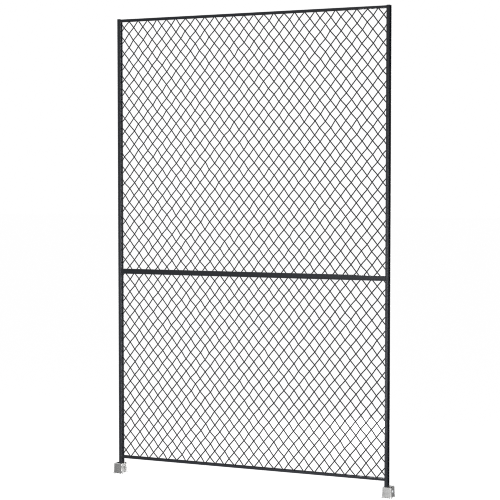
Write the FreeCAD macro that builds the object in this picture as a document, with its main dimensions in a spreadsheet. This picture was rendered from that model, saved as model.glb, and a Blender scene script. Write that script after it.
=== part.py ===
import FreeCAD, Part
import math
import os

# Wire mesh panel: two lipped-channel posts, top and bottom rails, a middle rail of two channels,
# a diamond mesh of steel wire, and a cast floor shoe under each post.
# +Z is up and the mesh lies in the XZ plane. The origin is on the floor under the left shoe,
# below the outer face of the left post. Sizes are in millimetres.

SIZES = (
    ("panel_width", 1524.0, "over the outer faces of the posts"),
    ("post_length", 2438.4, "cut length of a post"),
    ("post_depth", 31.75, "post across the panel's thickness"),
    ("post_flange", 17.5, "post from web to lip face"),
    ("post_lip", 8.0, "lip from the flange's outer face to the slot"),
    ("post_gauge", 2.3, "steel thickness of the post"),
    ("post_bend", 5.0, "outer radius of the post's bends"),
    ("rail_depth", 24.0, "width of a rail's web"),
    ("rail_flange", 11.1, "height of a rail's flanges, web included"),
    ("rail_gauge", 3.2, "steel thickness of a rail"),
    ("rail_heel", 1.2, "radius of a rail's outer corners"),
    ("tenon_width", 14.0, "tongue of a rail's web that enters the post's slot"),
    ("top_rail_drop", 2.0, "top of the top rail below the tops of the posts"),
    ("bottom_rail_height", 82.6, "underside of the bottom rail above the floor"),
    ("mid_rail_height", 1096.0, "middle of the middle rail above the floor"),
    ("wire_diameter", 4.11, "mesh wire"),
    ("diamond_width", 56.1, "nominal width of a diamond"),
    ("diamond_height", 69.0, "nominal height of a diamond"),
    ("apex_inset", 5.5, "outermost crossings from the webs that stop the wires"),
    ("bolt_hole", 8.5, "holes in the post webs for bolting to a neighbour"),
    ("first_bolt", 3.0, "whole diamonds below the lowest bolt hole and above the highest"),
    ("bolt_count", 4.0, "bolt holes in a post"),
    ("shoe_width", 47.5, "shoe along the panel, at the floor"),
    ("shoe_depth", 58.0, "shoe across the panel, at the floor"),
    ("shoe_height", 53.0, "rim of the shoe above the floor"),
    ("shoe_taper", 1.4, "lean of each wall of the shoe, from floor to rim"),
    ("shoe_corner", 4.0, "radius of the shoe's upright corners"),
    ("shoe_rim", 1.6, "radius of the shoe's outer rim"),
    ("shoe_floor", 6.4, "floor plate of the shoe, which the post stands on"),
    ("socket_clearance", 0.5, "room round the posts in the socket"),
    ("socket_corner", 2.5, "radius of the socket's upright corners"),
    ("toe_radius", 7.0, "foot of a flared toe"),
    ("toe_height", 10.0, "height of a flared toe"),
    ("toe_reach", 3.2, "toe past the shoe's walls"),
    ("arch_height", 3.5, "rise of the arched base edge between two toes"),
    ("arch_reach", 6.0, "how far an arch cuts in under the shoe"),
    ("slot_width", 9.5, "upright bolt slot in the shoe's end walls"),
    ("slot_length", 19.0, "end to end length of the bolt slot"),
    ("slot_height", 30.0, "middle of the bolt slot above the floor"),
)

# The mesh is cut at crossings into this many pieces side by side, above and below the middle rail.
MESH_SPLITS = ("left", "middle", "right")

X_AXIS = FreeCAD.Vector(1, 0, 0)
Y_AXIS = FreeCAD.Vector(0, 1, 0)
Z_AXIS = FreeCAD.Vector(0, 0, 1)
ALONG_X = FreeCAD.Rotation(Y_AXIS, 90)
NEAR = 1e-6

doc = FreeCAD.newDocument("wire_mesh_panel")
sheet = doc.addObject("Spreadsheet::Sheet", "Sizes")
for row, (alias, value, meaning) in enumerate(SIZES, start=1):
    sheet.set(f"A{row}", meaning)
    sheet.set(f"B{row}", str(value))
    sheet.setAlias(f"B{row}", alias)
doc.recompute()


def size(alias):
    """Value of one driving size."""
    return float(sheet.get(alias))


def bind(feature, **expressions):
    """Tie properties of a feature to expressions on the sheet."""
    for name, expression in expressions.items():
        feature.setExpression(name, expression)
    return feature


def place(feature, x="0", y="0", z="0", rotation=None):
    """Set a feature's rotation and tie its position to the sheet."""
    if rotation is not None:
        feature.Placement = FreeCAD.Placement(FreeCAD.Vector(), rotation)
    for axis, expression in zip("xyz", (x, y, z)):
        feature.setExpression(f"Placement.Base.{axis}", expression)
    return feature


def new_body(label):
    """An empty body, named for its node."""
    body = doc.addObject("PartDesign::Body", label)
    body.Label = label
    return body


def box(body, kind, name, length, width, height, **corner):
    """Add or cut a block, given by its three sizes and its lowest corner."""
    feature = body.newObject(f"PartDesign::{kind}Box", name)
    bind(feature, Length=length, Width=width, Height=height)
    return place(feature, **corner)


def drill(body, name, radius, depth, rotation, **start):
    """Cut a round hole from a start point along the turned Z axis."""
    feature = body.newObject("PartDesign::SubtractiveCylinder", name)
    bind(feature, Radius=radius, Height=depth)
    return place(feature, rotation=rotation, **start)


def fillet(body, name, radius, wanted):
    """Round the edges of the body's tip whose middle passes a test."""
    doc.recompute()
    base = body.Tip
    edges = []
    for number, edge in enumerate(base.Shape.Edges, start=1):
        middle = edge.valueAt((edge.FirstParameter + edge.LastParameter) / 2)
        if wanted(edge, middle):
            edges.append(f"Edge{number}")
    feature = body.newObject("PartDesign::Fillet", name)
    feature.Base = (base, edges)
    return bind(feature, Radius=radius)


def is_along(edge, axis):
    """Whether an edge is a straight one along an axis."""
    if not isinstance(edge.Curve, Part.Line):
        return False
    return abs(abs(edge.tangentAt(edge.FirstParameter).dot(axis)) - 1) < NEAR


def origin_feature(body, role):
    """One of a body's origin axes or planes."""
    return next(f for f in body.Origin.OriginFeatures if f.Role == role)


# Lattice of the mesh: crossings lie on whole columns and rows, every second one of each. The bolt
# holes lie in the middles of diamonds, evenly spaced, so that a spanner reaches them.
mesh_left = size("post_gauge")
mesh_right = size("panel_width") - size("post_gauge")
mesh_bottom = size("bottom_rail_height") + size("rail_gauge")
post_top = size("shoe_floor") + size("post_length")
mesh_top = post_top - size("top_rail_drop") - size("rail_gauge")

lattice_width = mesh_right - mesh_left - 2 * size("apex_inset")
lattice_height = mesh_top - mesh_bottom - 2 * size("apex_inset")
diamonds_across = round(lattice_width / size("diamond_width"))
diamonds_high = round(lattice_height / size("diamond_height"))
column_step = lattice_width / diamonds_across / 2
row_step = lattice_height / diamonds_high / 2
bolt_step = (diamonds_high - 1 - 2 * size("first_bolt")) // (size("bolt_count") - 1)


def column_x(column):
    """Place of a column of crossings along the panel."""
    return mesh_left + size("apex_inset") + column * column_step


def row_z(row):
    """Height of a row of crossings."""
    return mesh_bottom + size("apex_inset") + row * row_step


def make_bars(rising, window):
    """Straight bars of one family of wires, cut to a window of the lattice.

    A bar is as thick as the wire and has its steel area. The rising family is the front layer,
    the falling one the back layer, and they touch in the plane of the panel.
    """
    thickness = size("wire_diameter")
    half_width = thickness * math.pi / 8
    slope = FreeCAD.Vector(column_step, 0, row_step if rising else -row_step)
    side = FreeCAD.Vector(-slope.z, 0, slope.x).normalize() * half_width
    depth = FreeCAD.Vector(0, -thickness if rising else thickness, 0)
    columns = 2 * diamonds_across
    rows = 2 * diamonds_high
    bars = []
    for first_row in range(-columns, rows + columns + 1, 2):
        last_row = first_row + columns if rising else first_row - columns
        start = FreeCAD.Vector(column_x(0), 0, row_z(first_row)) - slope
        end = FreeCAD.Vector(column_x(columns), 0, row_z(last_row)) + slope
        outline = Part.makePolygon([start - side, end - side, end + side, start + side, start - side])
        bar = Part.Face(outline).extrude(depth).common(window)
        bars.extend(bar.Solids)
    return bars


def make_mesh(label, left, right, bottom, top):
    """One piece of the mesh between four planes, its two layers fused at the crossings."""
    thickness = size("wire_diameter")
    corner = FreeCAD.Vector(left, -thickness, bottom)
    window = Part.makeBox(right - left, 2 * thickness, top - bottom, corner)
    bars = make_bars(True, window) + make_bars(False, window)
    feature = doc.addObject("Part::Feature", label)
    feature.Label = label
    feature.Shape = bars[0].multiFuse(bars[1:])
    return feature


def make_post(label, rotation, x):
    """Lipped channel with its web outward, its bends rounded and its bolt holes drilled."""
    body = new_body(label)
    box(body, "Additive", label + "_blank", "Sizes.post_flange", "Sizes.post_depth",
        "Sizes.post_length", y="-Sizes.post_depth / 2")
    fillet(body, label + "_outer_bends", "Sizes.post_bend",
           lambda edge, middle: is_along(edge, Z_AXIS))
    box(body, "Subtractive", label + "_hollow", "Sizes.post_flange - 2 * Sizes.post_gauge",
        "Sizes.post_depth - 2 * Sizes.post_gauge", "Sizes.post_length",
        x="Sizes.post_gauge", y="Sizes.post_gauge - Sizes.post_depth / 2")
    half_hollow = size("post_depth") / 2 - size("post_gauge")
    hollow_start = size("post_gauge") - NEAR
    hollow_end = size("post_flange") - size("post_gauge") + NEAR
    fillet(body, label + "_inner_bends", "Sizes.post_bend - Sizes.post_gauge",
           lambda edge, middle: is_along(edge, Z_AXIS) and hollow_start < middle.x < hollow_end
           and abs(abs(middle.y) - half_hollow) < NEAR)
    box(body, "Subtractive", label + "_slot", "Sizes.post_flange",
        "Sizes.post_depth - 2 * Sizes.post_lip", "Sizes.post_length",
        x="Sizes.post_flange - Sizes.post_gauge", y="Sizes.post_lip - Sizes.post_depth / 2")
    drill(body, label + "_shoe_bolt", "Sizes.bolt_hole / 2", "Sizes.post_gauge", ALONG_X,
          z="Sizes.slot_height - Sizes.shoe_floor")
    hole = drill(body, label + "_bolt", "Sizes.bolt_hole / 2", "Sizes.post_gauge", ALONG_X)
    lowest_bolt = row_z(2 * size("first_bolt") + 1) - size("shoe_floor")
    hole.setExpression("Placement.Base.z", f"{lowest_bolt}")
    doc.recompute()
    pattern = body.newObject("PartDesign::LinearPattern", label + "_bolts")
    pattern.Originals = [hole]
    pattern.Direction = (origin_feature(body, "Z_Axis"), [""])
    pattern.Length = 2 * row_step * bolt_step * (size("bolt_count") - 1)
    bind(pattern, Occurrences="Sizes.bolt_count")
    body.Tip = pattern
    return place(body, x=x, z="Sizes.shoe_floor", rotation=rotation)


def make_rail(label, rotation, y, z):
    """Plain channel that butts on the lips of the posts, with a tenon through each slot."""
    body = new_body(label)
    length = "Sizes.panel_width - 2 * Sizes.post_flange"
    box(body, "Additive", label + "_blank", length, "Sizes.rail_depth", "Sizes.rail_flange",
        y="-Sizes.rail_depth / 2")
    fillet(body, label + "_heels", "Sizes.rail_heel",
           lambda edge, middle: is_along(edge, X_AXIS) and abs(middle.z) < NEAR)
    box(body, "Subtractive", label + "_trough", length, "Sizes.rail_depth - 2 * Sizes.rail_gauge",
        "Sizes.rail_flange", y="Sizes.rail_gauge - Sizes.rail_depth / 2", z="Sizes.rail_gauge")
    box(body, "Additive", label + "_tenons",
        "Sizes.panel_width - 2 * Sizes.post_gauge", "Sizes.tenon_width", "Sizes.rail_gauge",
        x="Sizes.post_gauge - Sizes.post_flange", y="-Sizes.tenon_width / 2")
    return place(body, x="Sizes.post_flange", y=y, z=z, rotation=rotation)


def make_shoe(label, x):
    """Cast socket for two posts back to back, with flared toes and an arched base edge."""
    body = new_body(label)
    block = body.newObject("PartDesign::AdditiveWedge", label + "_block")
    bind(block, Ymin="0", Ymax="Sizes.shoe_height")
    for axis, across in (("X", "Sizes.shoe_width"), ("Z", "Sizes.shoe_depth")):
        bind(block, **{f"{axis}min": f"-{across} / 2", f"{axis}max": f"{across} / 2",
                       f"{axis}2min": f"Sizes.shoe_taper - {across} / 2",
                       f"{axis}2max": f"{across} / 2 - Sizes.shoe_taper"})
    place(block, rotation=FreeCAD.Rotation(X_AXIS, 90))
    rim = size("shoe_height")
    fillet(body, label + "_corners", "Sizes.shoe_corner",
           lambda edge, middle: abs(middle.z - rim / 2) < rim / 4)
    fillet(body, label + "_rim", "Sizes.shoe_rim", lambda edge, middle: middle.z > rim - NEAR)

    for side_x in (-1, 1):
        for side_y in (-1, 1):
            toe = body.newObject("PartDesign::AdditiveCone", f"{label}_toe_{side_x + 1}{side_y + 1}")
            bind(toe, Radius1="Sizes.toe_radius", Height="Sizes.toe_height",
                 Radius2="Sizes.toe_radius - Sizes.toe_reach - Sizes.shoe_taper")
            inset = "+ Sizes.toe_reach - Sizes.toe_radius"
            place(toe, x=f"{side_x} * (Sizes.shoe_width / 2 {inset})",
                  y=f"{side_y} * (Sizes.shoe_depth / 2 {inset})")

    for side in (-1, 1):
        cut_arch(body, f"{label}_end_arch_{side + 1}", side, True)
        cut_arch(body, f"{label}_side_arch_{side + 1}", side, False)

    half_socket = "Sizes.post_flange + Sizes.socket_clearance"
    half_depth = "Sizes.post_depth / 2 + Sizes.socket_clearance"
    box(body, "Subtractive", label + "_socket", f"2 * ({half_socket})", f"2 * ({half_depth})",
        "Sizes.shoe_height", x=f"-({half_socket})", y=f"-({half_depth})", z="Sizes.shoe_floor")
    socket_x = size("post_flange") + size("socket_clearance")
    fillet(body, label + "_socket_corners", "Sizes.socket_corner",
           lambda edge, middle: is_along(edge, Z_AXIS) and abs(abs(middle.x) - socket_x) < NEAR)

    straight = "Sizes.slot_length - Sizes.slot_width"
    box(body, "Subtractive", label + "_slot", "2 * Sizes.shoe_width", "Sizes.slot_width", straight,
        x="-Sizes.shoe_width", y="-Sizes.slot_width / 2", z=f"Sizes.slot_height - ({straight}) / 2")
    for side in (-1, 1):
        drill(body, f"{label}_slot_end_{side + 1}", "Sizes.slot_width / 2", "2 * Sizes.shoe_width",
              ALONG_X, x="-Sizes.shoe_width", z=f"Sizes.slot_height + {side} * ({straight}) / 2")
    return place(body, x=x)


def cut_arch(body, name, side, at_end):
    """Cut a shallow arch into one base edge of the shoe, between its toes."""
    across, along = ("depth", "width") if at_end else ("width", "depth")
    span = f"(Sizes.shoe_{across} / 2 + Sizes.toe_reach - 2 * Sizes.toe_radius)"
    radius = f"(({span}) ^ 2 / Sizes.arch_height + Sizes.arch_height) / 2"
    outward = FreeCAD.Vector(side, 0, 0) if at_end else FreeCAD.Vector(0, side, 0)
    start = f"{side} * (Sizes.shoe_{along} / 2 - Sizes.arch_reach)"
    drill(body, name, radius, "Sizes.arch_reach + Sizes.toe_reach + Sizes.toe_radius",
          FreeCAD.Rotation(Z_AXIS, outward), z=f"Sizes.arch_height - ({radius})",
          **{"x" if at_end else "y": start})


make_post("left_post", FreeCAD.Rotation(), "0")
make_post("right_post", FreeCAD.Rotation(Z_AXIS, 180), "Sizes.panel_width")

make_rail("bottom_rail", FreeCAD.Rotation(), "0", "Sizes.bottom_rail_height")
make_rail("top_rail", FreeCAD.Rotation(X_AXIS, 180), "0",
          "Sizes.shoe_floor + Sizes.post_length - Sizes.top_rail_drop")
make_rail("mid_rail_front", FreeCAD.Rotation(X_AXIS, 90), "-Sizes.wire_diameter",
          "Sizes.mid_rail_height")
make_rail("mid_rail_back", FreeCAD.Rotation(X_AXIS, -90), "Sizes.wire_diameter",
          "Sizes.mid_rail_height")

make_shoe("left_floor_shoe", "0")
make_shoe("right_floor_shoe", "Sizes.panel_width")

# The cuts between mesh pieces follow a row inside the middle rail and evenly spaced columns.
mid_row = round((size("mid_rail_height") - row_z(0)) / row_step)
levels = {"lower": (mesh_bottom, row_z(mid_row)), "upper": (row_z(mid_row), mesh_top)}
cut_columns = [round(2 * diamonds_across * k / len(MESH_SPLITS)) for k in range(1, len(MESH_SPLITS))]
uprights = [mesh_left] + [column_x(column) for column in cut_columns] + [mesh_right]
for level, (bottom, top) in levels.items():
    for name, left, right in zip(MESH_SPLITS, uprights, uprights[1:]):
        make_mesh(f"{level}_mesh_{name}", left, right, bottom, top)

doc.recompute()
for item in doc.Objects:
    if "Invalid" in item.State or "Error" in item.State:
        raise RuntimeError(f"{item.Label} did not compute: {item.State}")

nodes = [o for o in doc.Objects if o.TypeId in ("PartDesign::Body", "Part::Feature")]
for node in nodes:
    if node.Shape.isNull() or not node.Shape.isValid():
        raise RuntimeError(f"{node.Label} has no valid shape")

os.makedirs("parts", exist_ok=True)
for node in nodes:
    node.Shape.exportStep(f"parts/{node.Label}.step")
    print(f"{node.Label}: {len(node.Shape.Solids)} solid, {node.Shape.Volume / 1000:.1f} cm3")
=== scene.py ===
"""Looks of a wire mesh panel: woven wires, powder-coated steel, cast shoes, camera and studio light.

All lengths are in metres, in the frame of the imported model: +Z up, +X along the panel, +Y to the back.
"""

import logging
import math
from dataclasses import dataclass
from enum import Enum
from typing import Any, Iterator, Optional, Union

import bpy
import numpy as np
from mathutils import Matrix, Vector


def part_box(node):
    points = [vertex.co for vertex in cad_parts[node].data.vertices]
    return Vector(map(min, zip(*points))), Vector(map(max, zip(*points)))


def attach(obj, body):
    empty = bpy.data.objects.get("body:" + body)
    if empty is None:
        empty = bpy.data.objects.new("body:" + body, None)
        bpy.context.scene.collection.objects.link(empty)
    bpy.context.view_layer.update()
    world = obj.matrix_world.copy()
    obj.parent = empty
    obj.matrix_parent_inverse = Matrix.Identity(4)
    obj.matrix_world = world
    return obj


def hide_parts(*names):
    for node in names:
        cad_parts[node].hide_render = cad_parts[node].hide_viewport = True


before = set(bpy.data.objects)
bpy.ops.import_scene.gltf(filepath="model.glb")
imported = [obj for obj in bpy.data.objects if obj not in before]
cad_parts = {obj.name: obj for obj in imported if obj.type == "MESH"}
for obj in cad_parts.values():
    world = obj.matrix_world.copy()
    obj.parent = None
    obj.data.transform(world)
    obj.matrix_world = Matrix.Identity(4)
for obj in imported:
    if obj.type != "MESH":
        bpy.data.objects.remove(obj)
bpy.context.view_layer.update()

log = logging.getLogger("wire_mesh_panel")
logging.basicConfig(level=logging.INFO, format="%(name)s: %(message)s")

Colour = tuple[float, float, float]
Point = tuple[float, float, float]
Operand = Union["Signal", int, float]

MM = 0.001
BODY = "root"
IMAGE_PIXELS = 500
SENSOR_MM = 36.0
WHITE: Colour = (1.0, 1.0, 1.0)
TO_BACK: Point = (0.0, 1.0, 0.0)
SQUARE = 4
HEXAGON = 6

# Numbers of the Mix node's sockets for colours, whose names repeat.
MIX_FACTOR = 0
MIX_FIRST = 6
MIX_SECOND = 7
MIX_RESULT = 2

# Number of the tone curve that acts on red, green and blue together.
COMBINED_CURVE = 3


class Side(Enum):
    """Which way a family of wires leans, seen from the front. The value is its slope in rows by columns."""

    RISING = 1
    FALLING = -1


class End(Enum):
    """Which end of the panel a shoe is at. The value is the way to the mesh along X."""

    LEFT = 1
    RIGHT = -1


class Reach(Enum):
    """What a light falls on. Screens keep it off the rest."""

    ALL_BUT_SHOES = "all_but_shoes"
    FRAME = "frame"
    POSTS = "posts"
    SHOES = "shoes"


class Signal:
    """A number that changes over a surface, written as an ordinary Python expression."""

    def __init__(self, graph: "Graph", socket: bpy.types.NodeSocket) -> None:
        """Wrap an output socket of a graph's node."""
        self.graph = graph
        self.socket = socket

    def math(self, operation: str, first: Operand, second: Operand) -> "Signal":
        """Add a Math node to the graph and give its result."""
        node = self.graph.node("ShaderNodeMath", {"operation": operation}, {0: first, 1: second})
        return self.graph.signal(node)

    def __add__(self, other: Operand) -> "Signal":
        """Sum."""
        return self.math("ADD", self, other)

    def __sub__(self, other: Operand) -> "Signal":
        """Difference."""
        return self.math("SUBTRACT", self, other)

    def __rsub__(self, other: Operand) -> "Signal":
        """Difference from a number."""
        return self.math("SUBTRACT", other, self)

    def __mul__(self, other: Operand) -> "Signal":
        """Product."""
        return self.math("MULTIPLY", self, other)

    __radd__ = __add__
    __rmul__ = __mul__


class Graph:
    """A node tree that is built from Python."""

    def __init__(self, tree: bpy.types.NodeTree) -> None:
        """Start with an empty tree."""
        self.tree = tree
        self.tree.nodes.clear()

    def node(
        self,
        kind: str,
        settings: Optional[dict[str, Any]] = None,
        inputs: Optional[dict[Union[str, int], Any]] = None,
    ) -> bpy.types.Node:
        """Add one node.

        Args:
            kind: Blender's type of the node.
            settings: properties of the node, set before its inputs.
            inputs: values, signals or sockets for its inputs, by name or number.

        Returns:
            The new node.
        """
        node = self.tree.nodes.new(kind)
        for name, value in (settings or {}).items():
            setattr(node, name, value)
        for key, value in (inputs or {}).items():
            self.feed(node.inputs[key], value)
        return node

    def feed(self, socket: bpy.types.NodeSocket, value: Any) -> None:
        """Link a signal or socket to an input, or set its value.

        Args:
            socket: the input.
            value: a signal, an output socket, a number or a colour.
        """
        if isinstance(value, Signal):
            self.tree.links.new(value.socket, socket)
        elif isinstance(value, bpy.types.NodeSocket):
            self.tree.links.new(value, socket)
        elif socket.type == "RGBA":
            socket.default_value = (*value, 1.0)
        else:
            socket.default_value = value

    def signal(self, node: bpy.types.Node, output: Union[str, int] = 0) -> Signal:
        """One output of a node as a signal."""
        return Signal(self, node.outputs[output])

    def place(self) -> bpy.types.NodeSocket:
        """Coordinates in the frame of the object, in metres."""
        return self.node("ShaderNodeTexCoord").outputs["Object"]

    def noise(self, size: float, detail: float, roughness: float = 0.5) -> Signal:
        """Noise from 0 to 1 with blotches of about this size in metres, and with finer octaves."""
        inputs = {"Vector": self.place(), "Scale": 1.0 / size, "Detail": detail, "Roughness": roughness}
        return self.signal(self.node("ShaderNodeTexNoise", None, inputs), "Fac")

    def mix(self, factor: Signal, first: Colour, second: Colour) -> bpy.types.NodeSocket:
        """Blend two colours."""
        inputs = {MIX_FACTOR: factor, MIX_FIRST: first, MIX_SECOND: second}
        return self.node("ShaderNodeMix", {"data_type": "RGBA"}, inputs).outputs[MIX_RESULT]

    def bump(self, height: Signal, depth: float, strength: float) -> bpy.types.NodeSocket:
        """Normals of a skin whose height changes by this depth."""
        inputs = {"Height": height, "Distance": depth, "Strength": strength}
        return self.node("ShaderNodeBump", None, inputs).outputs["Normal"]

    def surface(self, inputs: dict[str, Any]) -> None:
        """Add the shader of a surface and link it to the output."""
        shader = self.node("ShaderNodeBsdfPrincipled", None, inputs)
        self.node("ShaderNodeOutputMaterial", None, {"Surface": shader.outputs["BSDF"]})


def new_material(name: str) -> tuple[bpy.types.Material, Graph]:
    """Make a bare material.

    Args:
        name: name of the material.

    Returns:
        The material and the graph that builds it.
    """
    made = bpy.data.materials.new(name)
    made.use_nodes = True
    return made, Graph(made.node_tree)


def add_object(name: str, data: bpy.types.ID) -> bpy.types.Object:
    """Put a new object into the scene.

    Args:
        name: name of the object.
        data: its mesh, light or camera.

    Returns:
        The new object.
    """
    made = bpy.data.objects.new(name, data)
    bpy.context.collection.objects.link(made)
    return made


def paint_node(name: str, material: bpy.types.Material) -> bpy.types.Object:
    """Put one material on a CAD node.

    Args:
        name: name of the node.
        material: its finish.

    Returns:
        The node's object.
    """
    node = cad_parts[name]
    node.data.materials.clear()
    node.data.materials.append(material)
    return node


@dataclass(frozen=True)
class PowderCoat:
    """Satin black powder coat on steel, with a fine orange peel and faint dust."""

    name: str
    paint: Colour = (0.031, 0.036, 0.047)
    dusty: Colour = (0.042, 0.048, 0.061)
    shine: float = 0.5
    rough_low: float = 0.28
    rough_high: float = 0.40
    peel_size: float = 1.6 * MM
    peel_depth: float = 0.05 * MM
    peel_strength: float = 0.6
    grain_size: float = 4.8 * MM
    grain_share: float = 0.4
    blotch_size: float = 60 * MM

    def material(self) -> bpy.types.Material:
        """Build the paint.

        Returns:
            The node material.
        """
        made, graph = new_material(self.name)
        blotch = graph.noise(self.blotch_size, detail=4.0)
        grain = graph.noise(self.grain_size, detail=3.0)
        peel = graph.noise(self.peel_size, detail=1.0)
        dust = (1 - self.grain_share) * blotch + self.grain_share * grain
        graph.surface({
            "Base Color": graph.mix(dust, self.paint, self.dusty),
            "Roughness": self.rough_low + (self.rough_high - self.rough_low) * blotch,
            "Specular IOR Level": self.shine,
            "Normal": graph.bump(peel, self.peel_depth, self.peel_strength),
        })
        return made


FRAME_COAT = PowderCoat("frame_powder_coat")
# The wires' paint is the frame's powder coat made darker and less shiny. The darker colour is painted shade,
# which dims the thin wires as shadow would.
SHADED_WIRE_COAT = PowderCoat(
    "wire_powder_coat_painted_shade", paint=(0.022, 0.0245, 0.029), dusty=(0.032, 0.035, 0.041), shine=0.25,
)


@dataclass(frozen=True)
class CastAluminium:
    """Raw sand-cast aluminium, dull and pitted, greyer in its blotches."""

    name: str = "cast_aluminium"
    bright: Colour = (0.35, 0.35, 0.347)
    dull: Colour = (0.25, 0.25, 0.248)
    metal: float = 0.08
    shine: float = 0.2
    rough_low: float = 0.70
    rough_high: float = 0.85
    grain_size: float = 1.1 * MM
    grain_share: float = 0.2
    grain_depth: float = 0.12 * MM
    blotch_size: float = 16 * MM
    blotch_height: float = 2.0
    skin_strength: float = 0.35

    def material(self) -> bpy.types.Material:
        """Build the casting's skin.

        Returns:
            The node material.
        """
        made, graph = new_material(self.name)
        blotch = graph.noise(self.blotch_size, detail=5.0, roughness=0.6)
        grain = graph.noise(self.grain_size, detail=3.0, roughness=0.6)
        pale = (1 - self.grain_share) * blotch + self.grain_share * grain
        height = grain + self.blotch_height * blotch
        graph.surface({
            "Base Color": graph.mix(pale, self.dull, self.bright),
            "Roughness": self.rough_low + (self.rough_high - self.rough_low) * grain,
            "Metallic": self.metal,
            "Specular IOR Level": self.shine,
            "Normal": graph.bump(height, self.grain_depth, self.skin_strength),
        })
        return made


@dataclass(frozen=True)
class ZincPlate:
    """Dull zinc plating on bolts, slightly streaked and smoother where it is bright."""

    name: str = "zinc_plate"
    bright: Colour = (0.66, 0.67, 0.68)
    dull: Colour = (0.52, 0.53, 0.54)
    metal: float = 0.4
    rough_low: float = 0.40
    rough_high: float = 0.55
    streak_size: float = 3 * MM

    def material(self) -> bpy.types.Material:
        """Build the plating.

        Returns:
            The node material.
        """
        made, graph = new_material(self.name)
        streak = graph.noise(self.streak_size, detail=3.0)
        graph.surface({
            "Base Color": graph.mix(streak, self.dull, self.bright),
            "Roughness": self.rough_high - (self.rough_high - self.rough_low) * streak,
            "Metallic": self.metal,
        })
        return made


class Solids:
    """Closed solids that are gathered into the mesh of one piece."""

    def __init__(self) -> None:
        """Start with nothing."""
        self.vertices: list[np.ndarray] = []
        self.faces: list[tuple[int, ...]] = []
        self.count = 0

    def add(self, rings: np.ndarray) -> None:
        """Add one solid, with bands of faces between its rings and a cap at each end.

        Args:
            rings: points, as rings by corners by three coordinates. The corners run clockwise, seen
                from the last ring.
        """
        steps, sides = rings.shape[:2]
        corners = np.arange(sides)
        after = (corners + 1) % sides
        for near in self.count + np.arange(steps - 1) * sides:
            far = near + sides
            band = np.stack([near + corners, far + corners, far + after, near + after], axis=1)
            self.faces.extend(map(tuple, band.tolist()))
        last = self.count + (steps - 1) * sides
        self.faces.append(tuple((self.count + corners).tolist()))
        self.faces.append(tuple((last + corners[::-1]).tolist()))
        self.vertices.append(rings.reshape(-1, 3))
        self.count += steps * sides

    def piece(self, name: str, material: bpy.types.Material, slot: str) -> bpy.types.Object:
        """Make the piece, which moves with the panel.

        Args:
            name: name of the new object.
            material: its finish.
            slot: slot of the record that the finish belongs to; not used.

        Returns:
            The new object.
        """
        mesh = bpy.data.meshes.new(name)
        mesh.from_pydata(np.concatenate(self.vertices).tolist(), [], self.faces)
        mesh.shade_smooth()
        mesh.materials.append(material)
        made = add_object(name, mesh)
        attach(made, BODY)
        return made


def rings_along(
    path: np.ndarray,
    across: np.ndarray,
    out: np.ndarray,
    radii: np.ndarray,
    sides: int,
) -> np.ndarray:
    """Rings of corners round a path.

    Args:
        path: middles of the rings.
        across: direction of the first corner from each middle, or one direction for all of them.
        out: direction a quarter turn on.
        radii: distance of the corners from each middle.
        sides: corners of a ring.

    Returns:
        Points, as rings by corners by three coordinates.
    """
    angles = np.arange(sides) * 2 * math.pi / sides
    spokes = across[:, None] * np.cos(angles)[:, None] + out[:, None] * np.sin(angles)[:, None]
    return path[:, None] + spokes * radii[:, None, None]


@dataclass(frozen=True)
class Window:
    """Part of the lattice, by its outer columns and rows, which need not be whole."""

    first_column: float
    last_column: float
    first_row: float
    last_row: float


@dataclass(frozen=True)
class Lattice:
    """Grid of crossings of the diamond mesh, on whole columns and rows, every second one of each."""

    left: float
    right: float
    bottom: float
    top: float
    diamond_width: float = 56.1 * MM
    diamond_height: float = 69.0 * MM
    apex_inset: float = 5.5 * MM

    @classmethod
    def from_nodes(cls, names: list[str]) -> "Lattice":
        """Take the outer edges from the mesh nodes of the frame.

        Args:
            names: names of the mesh nodes.

        Returns:
            The lattice that they cover together.
        """
        boxes = [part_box(name) for name in names]
        low = np.min([box[0] for box in boxes], axis=0)
        high = np.max([box[1] for box in boxes], axis=0)
        return cls(left=low[0], right=high[0], bottom=low[2], top=high[2])

    @property
    def columns(self) -> int:
        """Steps between the outermost columns of crossings."""
        return 2 * round((self.right - self.left - 2 * self.apex_inset) / self.diamond_width)

    @property
    def rows(self) -> int:
        """Steps between the outermost rows of crossings."""
        return 2 * round((self.top - self.bottom - 2 * self.apex_inset) / self.diamond_height)

    @property
    def column_step(self) -> float:
        """Distance between two neighbouring columns."""
        return (self.right - self.left - 2 * self.apex_inset) / self.columns

    @property
    def row_step(self) -> float:
        """Distance between two neighbouring rows."""
        return (self.top - self.bottom - 2 * self.apex_inset) / self.rows

    def place(self, column: np.ndarray, row: np.ndarray) -> np.ndarray:
        """Points in the plane of the mesh.

        Args:
            column: columns, which need not be whole.
            row: rows, one for each column.

        Returns:
            Points, one row of three numbers each.
        """
        x = self.left + self.apex_inset + column * self.column_step
        z = self.bottom + self.apex_inset + row * self.row_step
        return np.stack([x, np.zeros_like(x), z], axis=-1)

    def column_at(self, x: float) -> float:
        """Column of a place along the panel."""
        return (x - self.left - self.apex_inset) / self.column_step

    def row_at(self, z: float) -> float:
        """Row of a height."""
        return (z - self.bottom - self.apex_inset) / self.row_step

    def window(self, node: str) -> Window:
        """Columns and rows that a mesh node covers.

        Args:
            node: name of the mesh node.

        Returns:
            Its window of the lattice.
        """
        low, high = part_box(node)
        return Window(
            self.column_at(low[0]), self.column_at(high[0]), self.row_at(low[2]), self.row_at(high[2]),
        )


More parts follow.
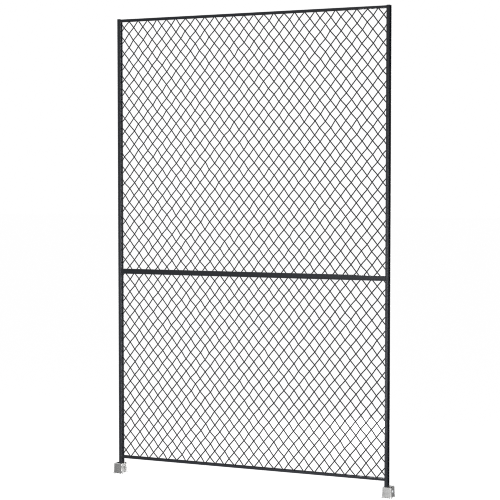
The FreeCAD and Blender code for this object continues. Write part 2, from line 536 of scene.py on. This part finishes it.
@dataclass
class WovenMesh:
    """Round wires that pass over and under each other, cut where the mesh nodes are.

    The steps are points of a wire from one crossing to the next. The margin is a number of crossings
    beyond the lattice, and the shortest stretch of wire that is made is given in columns.
    """

    lattice: Lattice
    wire_diameter: float = 4.11 * MM
    sides: int = 8
    steps: int = 6
    wander: float = 0.9 * MM
    seed: int = 7
    margin: int = 2
    shortest: float = 0.05
    rounding: float = 1e-9

    def __post_init__(self) -> None:
        """Draw how far each crossing strays from its true place."""
        draws = np.random.default_rng(self.seed)
        shape = (self.lattice.columns + 1 + 2 * self.margin, self.lattice.rows + 1 + 2 * self.margin)
        self.stray_x = draws.normal(0.0, self.wander, shape)
        self.stray_z = draws.normal(0.0, self.wander, shape)

    def at_crossings(self, field: np.ndarray, column: np.ndarray, row: np.ndarray) -> np.ndarray:
        """Look up crossings in a field, or the edge of the field for those beyond it.

        Args:
            field: one number for each crossing of the lattice and its margin.
            column: whole columns.
            row: whole rows, one for each column.

        Returns:
            One number for each crossing that was asked for.
        """
        last_column, last_row = np.array(field.shape) - 1
        near_column = np.clip(column.astype(int) + self.margin, 0, last_column)
        near_row = np.clip(row.astype(int) + self.margin, 0, last_row)
        return field[near_column, near_row]

    def stray(self, side: Side, column: np.ndarray, row: np.ndarray) -> np.ndarray:
        """How far points of a wire stray in the mesh's plane, eased between its crossings.

        Args:
            side: which way the wire leans.
            column: columns along the wire.
            row: rows along the wire.

        Returns:
            Offsets, one row of three numbers for each point.
        """
        first_column = np.floor(column + self.rounding)
        if side is Side.RISING:
            first_row = np.floor(row + self.rounding)
        else:
            first_row = np.ceil(row - self.rounding)
        ahead = column - first_column
        ease = ahead * ahead * (3 - 2 * ahead)
        shift = np.zeros((len(column), 3))
        for axis, field in ((0, self.stray_x), (2, self.stray_z)):
            near = self.at_crossings(field, first_column, first_row)
            far = self.at_crossings(field, first_column + 1, first_row + side.value)
            shift[:, axis] = near * (1 - ease) + far * ease
        return shift

    def wire_path(self, side: Side, number: int, start: float, end: float) -> np.ndarray:
        """Points along the middle of one wire.

        Args:
            side: which way the wire leans.
            number: row at which the wire, made long enough, meets column 0.
            start: column where the stretch starts.
            end: column where it ends.

        Returns:
            Points, one row of three numbers each.
        """
        count = max(2, int(round((end - start) * self.steps)) + 1)
        column = np.linspace(start, end, count)
        row = number + side.value * column
        points = self.lattice.place(column, row) + self.stray(side, column, row)
        over_first = 1 if (number // 2) % 2 == 0 else -1
        points[:, 1] = -side.value * over_first * np.cos(math.pi * column) * self.wire_diameter / 2
        return points

    def tube(self, path: np.ndarray) -> np.ndarray:
        """Rings of a wire, on average as wide as the round wire from any side.

        Args:
            path: points along the middle of the wire.

        Returns:
            Points, as rings by corners by three coordinates.
        """
        along = np.gradient(path, axis=0)
        along /= np.linalg.norm(along, axis=1)[:, None]
        across = np.cross(along, TO_BACK)
        across /= np.linalg.norm(across, axis=1)[:, None]
        mean_width = self.sides * math.sin(math.pi / self.sides) / math.pi
        radii = np.full(len(path), self.wire_diameter / 2 / mean_width)
        return rings_along(path, across, np.cross(across, along), radii, self.sides)

    def stretches(self, window: Window) -> Iterator[np.ndarray]:
        """Paths of all wires inside a window of the lattice.

        Args:
            window: the part of the lattice.

        Yields:
            The path of one wire after another.
        """
        lowest = -self.lattice.columns - self.margin
        highest = self.lattice.rows + self.lattice.columns + self.margin
        for side in Side:
            for number in range(lowest, highest + 1, 2):
                at_rows = [(row - number) * side.value for row in (window.first_row, window.last_row)]
                start = max(window.first_column, min(at_rows))
                end = min(window.last_column, max(at_rows))
                if end - start > self.shortest:
                    yield self.wire_path(side, number, start, end)

    def build(self, node: str, coat: bpy.types.Material) -> bpy.types.Object:
        """Weave the piece of mesh that stands for one node.

        Args:
            node: name of the mesh node.
            coat: the wires' paint, darker than the frame's as painted shade.

        Returns:
            The new object.
        """
        wires = Solids()
        for path in self.stretches(self.lattice.window(node)):
            wires.add(self.tube(path))
        piece = wires.piece("woven_" + node, coat, "mesh_paint")
        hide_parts(node)
        return piece


@dataclass
class SteelFrame:
    """Posts and rails, which keep their CAD shapes."""

    posts: tuple[str, ...] = ("left_post", "right_post")
    rails: tuple[str, ...] = ("top_rail", "bottom_rail", "mid_rail_front", "mid_rail_back")

    def dress_posts(self, coat: bpy.types.Material) -> list[bpy.types.Object]:
        """Paint the posts."""
        return [paint_node(name, coat) for name in self.posts]

    def dress_rails(self, coat: bpy.types.Material) -> list[bpy.types.Object]:
        """Paint the rails."""
        return [paint_node(name, coat) for name in self.rails]


@dataclass(frozen=True)
class ShoeBolt:
    """Round-headed bolt through a shoe's outer wall and the post's web, with its nut in the post.

    The reaches are distances from the shoe's middle: out to the wall's face and in to the web's. The
    dome stops at a share of its quarter turn, which leaves a small flat on the head.
    """

    height: float = 30 * MM
    wall_reach: float = 23.1 * MM
    web_reach: float = 2.3 * MM
    diameter: float = 7.9 * MM
    head_diameter: float = 18.0 * MM
    head_height: float = 3.7 * MM
    neck_width: float = 7.9 * MM
    neck_length: float = 4.4 * MM
    washer_diameter: float = 17.5 * MM
    washer_thickness: float = 1.6 * MM
    nut_width: float = 12.7 * MM
    nut_height: float = 6.8 * MM
    chamfer: float = 0.7 * MM
    spare_thread: float = 2.5 * MM
    sides: int = 24
    dome_steps: int = 6
    dome_share: float = 0.92
    crease: float = math.radians(40)

    def sections(self) -> Iterator[tuple[list[tuple[float, float]], int]]:
        """Solids of the bolt, from its head to its tip.

        Yields:
            Distances along the bolt from the shoe's middle, with the corners' radii, and the number
            of corners.
        """
        wall = self.wall_reach
        full_swing = math.pi / 2 * self.dome_share
        swing = [full_swing * step / self.dome_steps for step in range(self.dome_steps, -1, -1)]
        dome = [(-wall - self.head_height * math.sin(a), self.head_diameter / 2 * math.cos(a)) for a in swing]
        yield dome, self.sides
        neck_end = self.neck_length - wall
        neck = self.neck_width / 2 * math.sqrt(2)
        yield [(-wall, neck), (neck_end, neck)], SQUARE
        shank = self.diameter / 2
        yield [(neck_end, shank), (self.web_reach, shank)], self.sides
        washer = self.washer_diameter / 2
        nut_start = self.web_reach + self.washer_thickness
        yield [(self.web_reach, washer), (nut_start, washer)], self.sides
        nut_end = nut_start + self.nut_height
        corner = self.nut_width / 2 / math.cos(math.pi / HEXAGON)
        bevel = self.chamfer / 2
        nut = [
            (nut_start, corner - self.chamfer),
            (nut_start + bevel, corner),
            (nut_end - bevel, corner),
            (nut_end, corner - self.chamfer),
        ]
        yield nut, HEXAGON
        tip = nut_end + self.spare_thread
        yield [(nut_end, shank), (tip - self.chamfer, shank), (tip, shank - self.chamfer)], self.sides

    def build(self, name: str, shoe_middle: float, end: End, plate: bpy.types.Material) -> bpy.types.Object:
        """Put one bolt through a shoe.

        Args:
            name: name of the new piece.
            shoe_middle: place of the shoe's middle along the panel.
            end: end of the panel that the shoe is at.
            plate: the bolt's finish.

        Returns:
            The new object.
        """
        along = np.array([(float(end.value), 0.0, 0.0)])
        across = np.array([(0.0, 0.0, 1.0)])
        out = np.cross(across, along)
        middle = np.array((shoe_middle, 0.0, self.height))
        bolt = Solids()
        for profile, corners in self.sections():
            distances, radii = np.array(profile).T
            path = middle + distances[:, None] * along
            bolt.add(rings_along(path, across, out, radii, corners))
        piece = bolt.piece(name, plate, "shoe_casting")
        piece.data.set_sharp_from_angle(angle=self.crease)
        return piece


@dataclass
class FloorShoes:
    """Cast shoes under the posts, which keep their CAD shapes, and their bolts."""

    nodes: tuple[str, ...] = ("left_floor_shoe", "right_floor_shoe")
    bolt: ShoeBolt = ShoeBolt()

    def dress(self, casting: bpy.types.Material) -> list[bpy.types.Object]:
        """Give the shoes their raw casting skin."""
        return [paint_node(name, casting) for name in self.nodes]

    def add_bolts(self, plate: bpy.types.Material) -> list[bpy.types.Object]:
        """Bolt each shoe to its post.

        Args:
            plate: the bolts' finish.

        Returns:
            The bolts.
        """
        bolts = []
        for name, end in zip(self.nodes, End):
            low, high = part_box(name)
            bolts.append(self.bolt.build(name + "_bolt", (low[0] + high[0]) / 2, end, plate))
        return bolts


@dataclass(frozen=True)
class Softbox:
    """A rectangular soft light. Its face has the brightness of its glow, where 1 is paper white."""

    name: str
    place: Point
    aim: Point
    width: float
    height: float
    glow: float
    reach: Reach

    def build(self, screens: dict[Reach, bpy.types.Collection]) -> None:
        """Hang the light, unseen by the camera, and aim it.

        Args:
            screens: what the lights of each reach are kept to or kept off.
        """
        data = bpy.data.lights.new(self.name, "AREA")
        data.shape = "RECTANGLE"
        data.size = self.width
        data.size_y = self.height
        data.energy = self.glow * math.pi * self.width * self.height
        light = add_object(self.name, data)
        light.location = self.place
        ahead = Vector(self.aim) - Vector(self.place)
        light.rotation_euler = ahead.to_track_quat("-Z", "Y").to_euler()
        light.visible_camera = False
        light.light_linking.receiver_collection = screens[self.reach]


@dataclass
class Studio:
    """Camera, pale floor and soft lights. Angles are in degrees."""

    camera_place: Point = (3.6587, -6.6407, 1.5539)
    camera_yaw: float = 23.521
    camera_pitch: float = -2.611
    focal_pixels: float = 1400.0
    floor_size: float = 120.0
    floor_shade: float = 0.12
    floor_glow: float = 0.96
    sky_glow: float = 0.01
    sun_strength: float = 1.2
    sun_spread: float = 50.0
    sun_height: float = 50.0
    pixel_blur: float = 1.15
    print_gamma: float = 0.455
    tone_points: tuple[tuple[float, float], ...] = ((0.01, 0.085), (0.025, 0.145), (0.04, 0.185))
    softboxes: tuple[Softbox, ...] = (
        Softbox("key_softbox", (1.6, -3.2, 1.2), (0.76, 0.0, 1.1),
                width=1.5, height=1.5, glow=13.0, reach=Reach.ALL_BUT_SHOES),
        Softbox("backdrop_glow", (1.0, 2.2, 1.5), (1.0, 0.0, 1.5),
                width=0.8, height=3.0, glow=7.7, reach=Reach.ALL_BUT_SHOES),
        Softbox("low_softbox", (0.8, -1.2, 0.35), (0.76, 0.0, 0.1),
                width=0.6, height=0.4, glow=15.0, reach=Reach.FRAME),
        Softbox("left_slot_card", (0.8, -0.5, 1.2), (0.0, 0.0, 1.2),
                width=0.4, height=2.4, glow=3.0, reach=Reach.POSTS),
        Softbox("left_side_card", (-1.8, 0.0, 1.2), (0.0, 0.0, 1.2),
                width=0.6, height=2.6, glow=5.0, reach=Reach.POSTS),
        Softbox("right_side_card", (3.4, 0.2, 1.0), (1.524, 0.0, 1.0),
                width=0.3, height=2.6, glow=1.5, reach=Reach.POSTS),
        Softbox("left_shoe_card", (0.52, -0.3, 0.2), (0.01, 0.0, 0.03),
                width=0.3, height=0.3, glow=36.5, reach=Reach.SHOES),
        Softbox("right_shoe_card", (1.87, -0.5, 0.2), (1.54, 0.0, 0.03),
                width=0.3, height=0.3, glow=37.0, reach=Reach.SHOES),
        Softbox("left_shoe_back_card", (-0.5, 0.5, 0.3), (-0.01, 0.0, 0.03),
                width=0.4, height=0.4, glow=24.0, reach=Reach.SHOES),
        Softbox("right_shoe_back_card", (1.0, 0.5, 0.3), (1.5, 0.0, 0.03),
                width=0.4, height=0.4, glow=24.0, reach=Reach.SHOES),
    )

    def build(self, pieces: dict[Reach, list[bpy.types.Object]]) -> None:
        """Set up everything that isn't part of the object.

        Args:
            pieces: what the lights of each reach are kept to, or kept off where the reach says so.
        """
        self.add_camera()
        self.add_floor()
        self.add_world()
        self.add_sun()
        screens = {reach: self.screen(reach, pieces[reach]) for reach in Reach}
        for softbox in self.softboxes:
            softbox.build(screens)
        self.set_print()

    @staticmethod
    def screen(reach: Reach, pieces: list[bpy.types.Object]) -> bpy.types.Collection:
        """Gather the pieces that the lights of one reach are kept to or kept off.

        Args:
            reach: what the lights fall on.
            pieces: the pieces that it names.

        Returns:
            The pieces as a collection, marked for the lights.
        """
        gathered = bpy.data.collections.new("lit_" + reach.value)
        for piece in pieces:
            gathered.objects.link(piece)
        if reach is Reach.ALL_BUT_SHOES:
            for link in gathered.collection_objects:
                link.light_linking.link_state = "EXCLUDE"
        return gathered

    def set_print(self) -> None:
        """Tone of the picture: shadows open up and thin wires keep their weight, as in a small print."""
        scene = bpy.context.scene
        scene.cycles.filter_width = self.pixel_blur
        scene.cycles.use_denoising = False
        view = scene.view_settings
        view.view_transform = "Standard"
        view.gamma = self.print_gamma
        view.use_curve_mapping = True
        curve = view.curve_mapping.curves[COMBINED_CURVE]
        for position, level in self.tone_points:
            curve.points.new(position, level)
        for point in curve.points:
            point.handle_type = "VECTOR"
        view.curve_mapping.update()

    def add_camera(self) -> None:
        """Camera at the photograph's place and angle."""
        data = bpy.data.cameras.new("camera")
        data.sensor_width = SENSOR_MM
        data.lens = self.focal_pixels / IMAGE_PIXELS * SENSOR_MM
        camera = add_object("camera", data)
        camera.location = self.camera_place
        camera.rotation_euler = (math.radians(90 + self.camera_pitch), 0.0, math.radians(self.camera_yaw))
        bpy.context.scene.camera = camera

    def add_floor(self) -> None:
        """Wide pale floor, which throws no light on the object."""
        half = self.floor_size / 2
        mesh = bpy.data.meshes.new("floor")
        corners = [(-half, -half, 0.0), (half, -half, 0.0), (half, half, 0.0), (-half, half, 0.0)]
        mesh.from_pydata(corners, [], [(0, 1, 2, 3)])
        material, graph = new_material("pale_floor")
        graph.surface({
            "Base Color": (self.floor_shade,) * 3,
            "Roughness": 1.0,
            "Specular IOR Level": 0.0,
            "Emission Color": WHITE,
            "Emission Strength": self.floor_glow,
        })
        mesh.materials.append(material)
        floor = add_object("floor", mesh)
        floor.visible_glossy = False
        floor.visible_diffuse = False

    def add_world(self) -> None:
        """White backdrop that lights the object only dimly."""
        world = bpy.data.worlds.new("studio")
        world.use_nodes = True
        bpy.context.scene.world = world
        graph = Graph(world.node_tree)
        seen = graph.node("ShaderNodeBackground", None, {"Color": WHITE, "Strength": 1.0})
        dim = graph.node("ShaderNodeBackground", None, {"Color": WHITE, "Strength": self.sky_glow})
        path = graph.node("ShaderNodeLightPath")
        both = graph.node("ShaderNodeMixShader", None, {
            0: path.outputs["Is Camera Ray"], 1: dim.outputs[0], 2: seen.outputs[0],
        })
        graph.node("ShaderNodeOutputWorld", None, {"Surface": both.outputs[0]})

    def add_sun(self) -> None:
        """Very soft light from above the camera, as wide as a ceiling of softboxes."""
        data = bpy.data.lights.new("ceiling_light", "SUN")
        data.energy = self.sun_strength
        data.angle = math.radians(self.sun_spread)
        sun = add_object("ceiling_light", data)
        sun.rotation_euler = (math.radians(90 - self.sun_height), 0.0, 0.0)


def main() -> None:
    """Build and dress the panel's pieces, report them and set up the studio."""
    mesh_nodes = sorted(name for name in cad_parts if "_mesh_" in name)
    woven = WovenMesh(Lattice.from_nodes(mesh_nodes))
    shaded_wire_coat = SHADED_WIRE_COAT.material()
    meshes = [woven.build(name, shaded_wire_coat) for name in mesh_nodes]
    steel = SteelFrame()
    steel_coat = FRAME_COAT.material()
    posts = steel.dress_posts(steel_coat)
    rails = steel.dress_rails(steel_coat)
    shoes = FloorShoes()
    cast = shoes.dress(CastAluminium().material())
    cast += shoes.add_bolts(ZincPlate().material())
    for piece in meshes + posts + rails + cast:
        log.info("%s: %d faces, %s", piece.name, len(piece.data.polygons), piece.data.materials[0].name)
    Studio().build({
        Reach.ALL_BUT_SHOES: cast,
        Reach.FRAME: posts + rails,
        Reach.POSTS: posts,
        Reach.SHOES: cast,
    })


if __name__ == "__main__":
    main()
